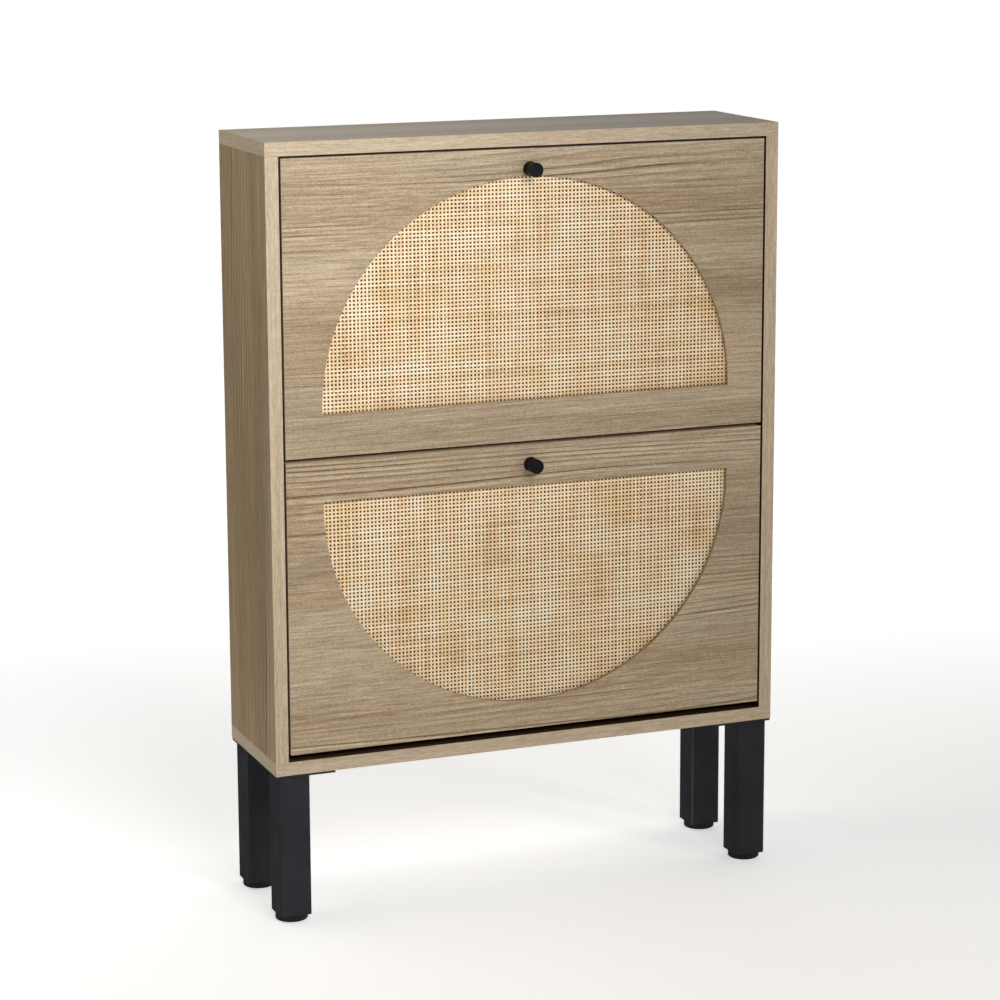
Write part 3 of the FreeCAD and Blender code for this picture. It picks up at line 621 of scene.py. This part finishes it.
def strands(flap, rises, run, seed):
    """All the strands of one direction, woven over and under those of the other."""
    rng = random.Random(seed)
    across = "x" if run == "z" else "z"
    across_pitch, run_pitch = CANE_PITCH[across], CANE_PITCH[run]
    node = f"{flap}_cane_webbing"
    outline = half_round(node, rises)
    low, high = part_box(node)
    depth = (low.y + high.y) / 2
    first = math.floor((low.x if across == "x" else low.z) / across_pitch)
    last = math.ceil((high.x if across == "x" else high.z) / across_pitch)
    weave_side = 1 if run == "z" else -1
    verts, faces = [], []
    for number in range(first, last + 1):
        middle = number * across_pitch + rng.uniform(-STRAND_STRAY, STRAND_STRAY)
        width = STRAND_WIDTH * rng.uniform(0.93, 1.07)
        wander, phase = rng.uniform(*STRAND_WANDER), rng.uniform(0, 2 * math.pi)
        span = strand_span(run, middle, outline, rises)
        if span is None or span[1] - span[0] < run_pitch:
            continue
        start, end = span
        half_pitch = run_pitch / 2
        stops = range(math.floor(start / half_pitch) + 1, math.ceil(end / half_pitch))
        places = [start] + [stop * half_pitch for stop in stops] + [end]
        sign = weave_side * (1 if number % 2 else -1)
        base = len(verts)
        for place in places:
            sideways = middle + wander * math.sin(place * WANDERS_PER_METRE + phase)
            lift = depth + sign * STRAND_LIFT * math.cos(math.pi * place / run_pitch)
            for share, thick in STRAND_SECTION:
                a, b = sideways + share * width, lift + thick * STRAND_THICKNESS
                verts.append((a, b, place) if run == "z" else (place, b, a))
        count = len(STRAND_SECTION)
        for ring in range(len(places) - 1):
            for side in range(count):
                here, there = base + ring * count, base + (ring + 1) * count
                after = (side + 1) % count
                faces.append((here + side, here + after, there + after, there + side))
        faces.append([base + side for side in range(count)])
        faces.append([base + (len(places) - 1) * count + side for side in range(count)])
    mesh = bpy.data.meshes.new("strands")
    mesh.from_pydata(verts, [], faces)
    bm = bmesh.new()
    bm.from_mesh(mesh)
    bpy.data.meshes.remove(mesh)
    return bm


for seed, (flap, rises) in enumerate(zip(FLAPS, (1, -1))):
    node = f"{flap}_cane_webbing"
    for run, word in (("z", "warp"), ("x", "weft")):
        across = "x" if run == "z" else "z"
        look_seed = 11.0 + 17 * seed + len(word)
        material = cane(f"cane_{flap}_{word}", run, CANE_PITCH[across], look_seed)
        bm = strands(flap, rises, run, f"{flap} {word}")
        piece = named_piece(f"cane_{flap}_{word}", bm, [material], BODY_OF[node], [node])
        piece.modifiers.clear()


# Plain parts that keep their CAD form, with rounded edges ---------------------------------------


def rounded(name, node, material, slot, width=0.0003, segments=2):
    bm = cad_mesh(node)
    round_edges(bm, width, segments)
    return named_piece(name, bm, [material], BODY_OF[node], [node])


rounded("hardboard_back", "back_panel", brown_board, "hardboard")
rounded("zinc_cam_locks", "cam_locks", zinc_plate, "zinc_steel", 0.0002)
rounded("zinc_cam_bolts", "cam_bolts", zinc_plate, "zinc_steel")
rounded("beech_dowels", "wood_dowels", dry_beech, "beech", 0.0008)
rounded("nylon_pivot_bushes", "pivot_bushes", white_nylon, "nylon", 0.0002)
rounded("zinc_stop_pins", "stop_pins", zinc_plate, "zinc_steel", 0.0005, 3)
for flap in FLAPS:
    # The cane backing takes the painted-shade hardboard.
    rounded(f"hardboard_{flap}_backing", f"{flap}_cane_backing", dark_board, "hardboard")
    rounded(f"zinc_{flap}_pivot_pins", f"{flap}_pivot_pins", zinc_plate, "zinc_steel", 0.0004)
    for side in SIDES:
        node = f"{flap}_{side}_rack_bracket"
        rounded(f"black_{node}", node, plastic, "black_plastic", 0.0005, 3)
for leg in LEGS:
    rounded(f"black_{leg}_foot_insert", f"{leg}_foot_insert", plastic, "black_plastic")
    rounded(f"black_{leg}_foot_pad", f"{leg}_foot_pad", plastic, "black_plastic")
    rounded(f"steel_{leg}_leg_plate", f"{leg}_leg_plate", steel, "black_steel", 0.0005, 3)


# Knobs ------------------------------------------------------------------------------------------


def knob(flap):
    """A waisted knob with a rounded rim and a shallow dish in its end."""
    node = f"{flap}_knob"
    low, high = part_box(node)
    radius, length = (high.x - low.x) / 2, high.y - low.y
    waist = radius - 0.0009
    profile = [(radius - 0.0004, 0.0), (radius, 0.0004)]
    profile += [(radius, 0.0048), (radius - 0.0002, 0.0053)]
    profile += [(waist + 0.0001, 0.0073), (waist, 0.008), (waist, 0.0100), (waist + 0.0001, 0.0107)]
    profile += [(radius - 0.0002, 0.0127), (radius, 0.0132)]
    profile += arc(radius - 0.0009, length - 0.0009, 0.0009, 0, 90, 8)
    profile += [(radius - 0.0014, length), (radius - 0.0019, length - 0.0002)]
    profile += [(0.0004, length - 0.0003)]
    bm = bmesh.new()
    lathe(bm, profile, 96)
    bm.transform(turned_to(FRONT, (0, high.y, (low.z + high.z) / 2)))
    named_piece(f"black_{flap}_knob", bm, [matt_black], BODY_OF[node], [node])


for flap in FLAPS:
    knob(flap)


# Screws -----------------------------------------------------------------------------------------


def cross_recess(bm, rim, reach, slot, depth, sunk):
    """Fills the flat end of a screw's head inside its rim, with a tapered cross sunk into it."""
    def cross(scale, height):
        corners = []
        for quarter in range(4):
            angle = quarter * math.pi / 2
            for x, y in ((reach * scale, -slot), (reach * scale, slot), (slot, slot)):
                turned_x = x * math.cos(angle) - y * math.sin(angle)
                turned_y = x * math.sin(angle) + y * math.cos(angle)
                corners.append(bm.verts.new((turned_x, turned_y, height)))
        return corners

    mouth, floor = cross(1.0, depth), cross(0.55, sunk)
    edges = [bm.edges.new((a, mouth[(i + 1) % len(mouth)])) for i, a in enumerate(mouth)]
    edges += [bm.edges.get((a, rim[(i + 1) % len(rim)])) for i, a in enumerate(rim)]
    bmesh.ops.triangle_fill(bm, edges=edges, use_beauty=True)
    bridge(bm, mouth, floor)
    bm.faces.new(floor)


def screw(head_radius, head_height, shank_radius, length, pitch):
    """A pan-head screw along Z, with the end of its head at the origin and its thread above."""
    bm = bmesh.new()
    segments = 40
    dome = head_height * 0.55
    flat = head_radius * 0.72
    rings = [ring_of(bm, flat, 0.0, segments)]
    for radius, height in arc(flat, dome, 1.0, -90, 0, 5)[1:]:
        scaled = flat + (radius - flat) * (head_radius - flat)
        rings.append(ring_of(bm, scaled, dome + (height - dome) * dome, segments))
    rings.append(ring_of(bm, head_radius, head_height, segments))
    for lower, upper in zip(rings, rings[1:]):
        bridge(bm, lower, upper)
    bm.faces.new(rings[-1])
    cross_recess(bm, rings[0], flat * 0.86, head_radius * 0.1, 0.0, head_height * 0.6)
    helix(bm, shank_radius, shank_radius * 0.72, pitch, head_height, length, 16)
    return bm


def screws(name, node, direction, shank_radius, head_height, pitch):
    """A screw in place of each solid of a CAD node, with its thread pointing in a direction."""
    whole = bmesh.new()
    for low, high in loose_boxes(node):
        axis = max(range(3), key=lambda index: abs(direction[index]))
        beside = (axis + 1) % 3
        at = (low + high) / 2
        at[axis] = low[axis] if direction[axis] > 0 else high[axis]
        head_radius = (high[beside] - low[beside]) / 2
        bm = screw(head_radius, head_height, shank_radius, high[axis] - low[axis], pitch)
        bm.transform(turned_to(direction, at))
        mesh = bpy.data.meshes.new("screw")
        bm.to_mesh(mesh)
        bm.free()
        whole.from_mesh(mesh)
        bpy.data.meshes.remove(mesh)
    named_piece(name, whole, [zinc_plate], BODY_OF[node], [node])


screws("zinc_leg_plate_screws", "leg_plate_screws", UP, 0.002, 0.0022, 0.0016)
for flap in FLAPS:
    screws(f"zinc_{flap}_bracket_screws", f"{flap}_bracket_screws", FRONT, 0.00175, 0.002, 0.0014)
    screws(f"zinc_{flap}_knob_screw", f"{flap}_knob_screw", FRONT, 0.002, 0.0024, 0.0007)


# Legs and feet ----------------------------------------------------------------------------------


def is_upright(edge):
    first, second = edge.verts
    return abs(first.co.x - second.co.x) < WELD and abs(first.co.y - second.co.y) < WELD


TUBE_CORNER = 0.0024
# An upright edge counts as an outer one within this distance of the outside of its tube.
TUBE_WALL_ROOM = 0.0005
WELD_BEAD = 0.0013
# How far the bead reaches into the tube, and its steps along one side of the tube.
WELD_ROOT = 0.0004
WELD_STEPS = 24
FOOT_PITCH = 0.00125


def leg_tube(leg):
    """A square tube with the rounded corners that its rolling leaves."""
    node = f"{leg}_leg_tube"
    low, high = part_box(node)
    middle = (low + high) / 2
    outer_reach = (high.x - low.x) / 2 - TUBE_WALL_ROOM

    def is_outer(edge):
        return is_upright(edge) and abs(edge.verts[0].co.x - middle.x) > outer_reach

    bm = cad_mesh(node)
    round_edges(bm, TUBE_CORNER, 6, is_outer)
    round_edges(bm, 0.0003, 2, lambda edge: not is_upright(edge))
    named_piece(f"steel_{leg}_leg_tube", bm, [steel], BODY_OF[node], [node])


def leg_weld(leg):
    """The rippled bead of weld that joins the tube to its plate."""
    node = f"{leg}_leg_tube"
    low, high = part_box(node)
    straight = (high.x - low.x) / 2 - TUBE_CORNER
    path = []
    for quarter, (side_x, side_y) in enumerate(((1, 1), (-1, 1), (-1, -1), (1, -1))):
        for step in range(5):
            angle = math.radians(90 * quarter + 22.5 * step)
            outward = Vector((math.cos(angle), math.sin(angle), 0))
            corner_centre = Vector((side_x * straight, side_y * straight, 0))
            path.append((corner_centre + outward * TUBE_CORNER, outward))
        following = math.radians(90 * (quarter + 1))
        outward = Vector((math.cos(following), math.sin(following), 0))
        along = Vector((-outward.y, outward.x, 0))
        corner_end = path[-1][0]
        for step in range(1, WELD_STEPS):
            path.append((corner_end + along * (2 * straight * step / WELD_STEPS), outward))
    rng = random.Random(leg)
    bm = bmesh.new()
    rings = []
    centre = Vector(((low.x + high.x) / 2, (low.y + high.y) / 2, high.z))
    for number, (spot, outward) in enumerate(path):
        ripple = 0.12 * math.sin(number * math.pi / 1.5)
        size = WELD_BEAD * (1 + ripple + rng.uniform(-0.06, 0.06))
        ring = []
        for degrees in (0, 22.5, 45, 67.5, 90):
            reach = size * math.cos(math.radians(degrees))
            drop = size * math.sin(math.radians(degrees))
            ring.append(bm.verts.new(centre + spot + outward * reach - Vector((0, 0, drop))))
        ring.append(bm.verts.new(centre + spot - outward * WELD_ROOT))
        rings.append(ring)
    for ring, following in zip(rings, rings[1:] + rings[:1]):
        bridge(bm, ring, following)
    named_piece(f"steel_{leg}_leg_weld", bm, [steel], BODY_OF[node], [])


def foot_stud(leg):
    """The foot's threaded stud. Its pitch is what the foot rises by in one turn."""
    node = f"{leg}_foot_stud"
    low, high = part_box(node)
    radius = (high.x - low.x) / 2
    bm = bmesh.new()
    helix(bm, radius, radius - 0.0007, FOOT_PITCH, 0.0, high.z - low.z, 28)
    bm.transform(Matrix.Translation(((low.x + high.x) / 2, (low.y + high.y) / 2, low.z)))
    named_piece(f"zinc_{leg}_foot_stud", bm, [zinc_plate], BODY_OF[node], [node])


for leg in LEGS:
    leg_tube(leg)
    leg_weld(leg)
    foot_stud(leg)


# Floor, light and camera ------------------------------------------------------------------------

WHITE = (1.0, 1.0, 1.0, 1.0)
FLOOR_REACH = 30.0
# The level direction in which the camera looks, and the one in from the left edge of its view.
AWAY = (0.372, 0.928, 0.0)
FROM_LEFT = (0.976, -0.216, 0.0)
# How strongly the floor glows: in view, how much more behind the cabinet, and far away all round.
FLOOR_GLOW = 0.5
FAR_FLOOR_GLOW = 0.32
DISTANT_GLOW = 0.6
# Where the sky is bright, and how bright.
BACK_SKY_AT = (0.55, 0.83, 0.12)
BACK_SKY = 0.7

KEY_AT, KEY_TARGET = (-0.15, -1.6, 1.43), (-0.46, 0.0, 0.76)
KEY_CONE = math.radians(62)
KEY_SIZE = 0.5
KEY_WATTS = 114.0
KEY_COLOUR = (1.0, 1.0, 1.03)

CAMERA_AT = (-1.2526, -3.1193, 1.1609)
CAMERA_AZIMUTH = math.radians(21.765)
CAMERA_ELEVATION = math.radians(11.176)
CAMERA_ROLL = math.radians(-0.229)
CAMERA_LENS = 109.68
CAMERA_SHIFT = -0.05


def smooth_step(tree, place, direction, low, high, top):
    """A value that rises smoothly from 0 to top as a place goes from low to high on a direction."""
    along = tree.nodes.new("ShaderNodeVectorMath")
    along.operation = "DOT_PRODUCT"
    along.inputs[1].default_value = direction
    rise = tree.nodes.new("ShaderNodeMapRange")
    rise.interpolation_type = "SMOOTHSTEP"
    for socket, value in (("From Min", low), ("From Max", high), ("To Min", 0.0), ("To Max", top)):
        rise.inputs[socket].default_value = value
    tree.links.new(place, along.inputs[0])
    tree.links.new(along.outputs["Value"], rise.inputs["Value"])
    return rise.outputs["Result"]


def floor():
    """A pale floor that glows around and behind the cabinet, and far away."""
    bm = bmesh.new()
    corners = ((-1, -1), (1, -1), (1, 1), (-1, 1))
    bm.faces.new([bm.verts.new((x * FLOOR_REACH, y * FLOOR_REACH, 0)) for x, y in corners])
    mesh = bpy.data.meshes.new("floor")
    bm.to_mesh(mesh)
    bm.free()
    look = Look("pale_floor", {"Specular IOR Level": 0.1})
    look.surface.inputs["Emission Color"].default_value = WHITE
    from_front = smooth_step(look.tree, look.place, AWAY, -1.0, -0.42, FLOOR_GLOW)
    far_back = smooth_step(look.tree, look.place, AWAY, 0.3, 1.6, FAR_FLOOR_GLOW)
    from_left = smooth_step(look.tree, look.place, FROM_LEFT, -0.95, -0.56, 1.0)
    in_view = look.math("MULTIPLY", look.math("ADD", from_front, far_back), from_left)
    distance = look.add("VectorMath", {0: look.place}, "Value", operation="LENGTH")
    far_away = look.step(distance, 1.0, 6.0, 0.0, DISTANT_GLOW)
    glow = look.math("MAXIMUM", in_view, far_away)
    look.feed(look.surface.inputs["Emission Strength"], glow)
    clouds = look.noise(look.scaled(2.5), detail=2.0)
    shade = look.ramp(clouds, (0.3, colour(243, 243, 242)), (0.7, colour(247, 247, 246)))
    roughness = look.step(clouds, 0.3, 0.7, 0.85, 0.95)
    mesh.materials.append(look.finish(shade, roughness, clouds, 0.0001))
    ground = bpy.data.objects.new("floor", mesh)
    bpy.context.scene.collection.objects.link(ground)


def aimed(name, data, at, target):
    """Hangs a light in a place, pointing at another."""
    lamp = bpy.data.objects.new(name, data)
    lamp.location = at
    lamp.rotation_mode = "QUATERNION"
    lamp.rotation_quaternion = (Vector(target) - Vector(at)).to_track_quat("-Z", "Y")
    bpy.context.scene.collection.objects.link(lamp)


def key_light():
    """A soft spot aimed past the front's upper left, so that the front darkens to the right."""
    data = bpy.data.lights.new("key", "SPOT")
    data.spot_size = KEY_CONE
    data.spot_blend = 1.0
    data.shadow_soft_size = KEY_SIZE
    data.energy = KEY_WATTS
    data.color = KEY_COLOUR
    aimed("key", data, KEY_AT, KEY_TARGET)


def square_light(name, at, target, size, watts, tint):
    """A square panel of light, with a side of that size."""
    data = bpy.data.lights.new(name, "AREA")
    data.shape = "SQUARE"
    data.size = size
    data.energy = watts
    data.color = tint
    aimed(name, data, at, target)


def soft_world():
    """A studio that is bright behind the cabinet and dark before it."""
    world = bpy.data.worlds.new("studio")
    bpy.context.scene.world = world
    world.use_nodes = True
    tree = world.node_tree
    direction = tree.nodes.new("ShaderNodeTexCoord").outputs["Generated"]
    behind = smooth_step(tree, direction, BACK_SKY_AT, 0.1, 0.7, BACK_SKY)
    background = tree.nodes["Background"]
    tree.links.new(behind, background.inputs["Strength"])
    background.inputs["Color"].default_value = WHITE


def camera():
    """The camera stands to the left of the front, a little above the cabinet's top."""
    ahead = Vector((math.sin(CAMERA_AZIMUTH), math.cos(CAMERA_AZIMUTH), 0))
    level = Vector((math.cos(CAMERA_AZIMUTH), -math.sin(CAMERA_AZIMUTH), 0))
    forward = ahead * math.cos(CAMERA_ELEVATION) - UP * math.sin(CAMERA_ELEVATION)
    upright = level.cross(forward)
    right = level * math.cos(CAMERA_ROLL) + upright * math.sin(CAMERA_ROLL)
    data = bpy.data.cameras.new("camera")
    data.lens = CAMERA_LENS
    data.sensor_width = 36.0
    data.shift_y = CAMERA_SHIFT
    data.clip_end = 100.0
    eye = bpy.data.objects.new("camera", data)
    turn = Matrix((right, right.cross(forward), -forward)).transposed().to_4x4()
    eye.matrix_world = Matrix.Translation(CAMERA_AT) @ turn
    bpy.context.scene.collection.objects.link(eye)
    bpy.context.scene.camera = eye


floor()
soft_world()
key_light()
square_light(
    "right", (1.3, -1.8, 1.05), (0.0, 0.0, 0.6), size=0.25, watts=7.2, tint=(1.0, 0.91, 0.8)
)
square_light(
    "high_left",
    (-0.87, 0.25, 1.87),
    (-0.22, 0.0, 0.83),
    size=0.9,
    watts=7.8,
    tint=(1.0, 0.95, 0.86),
)
camera()
bpy.context.scene.view_settings.view_transform = "Standard"
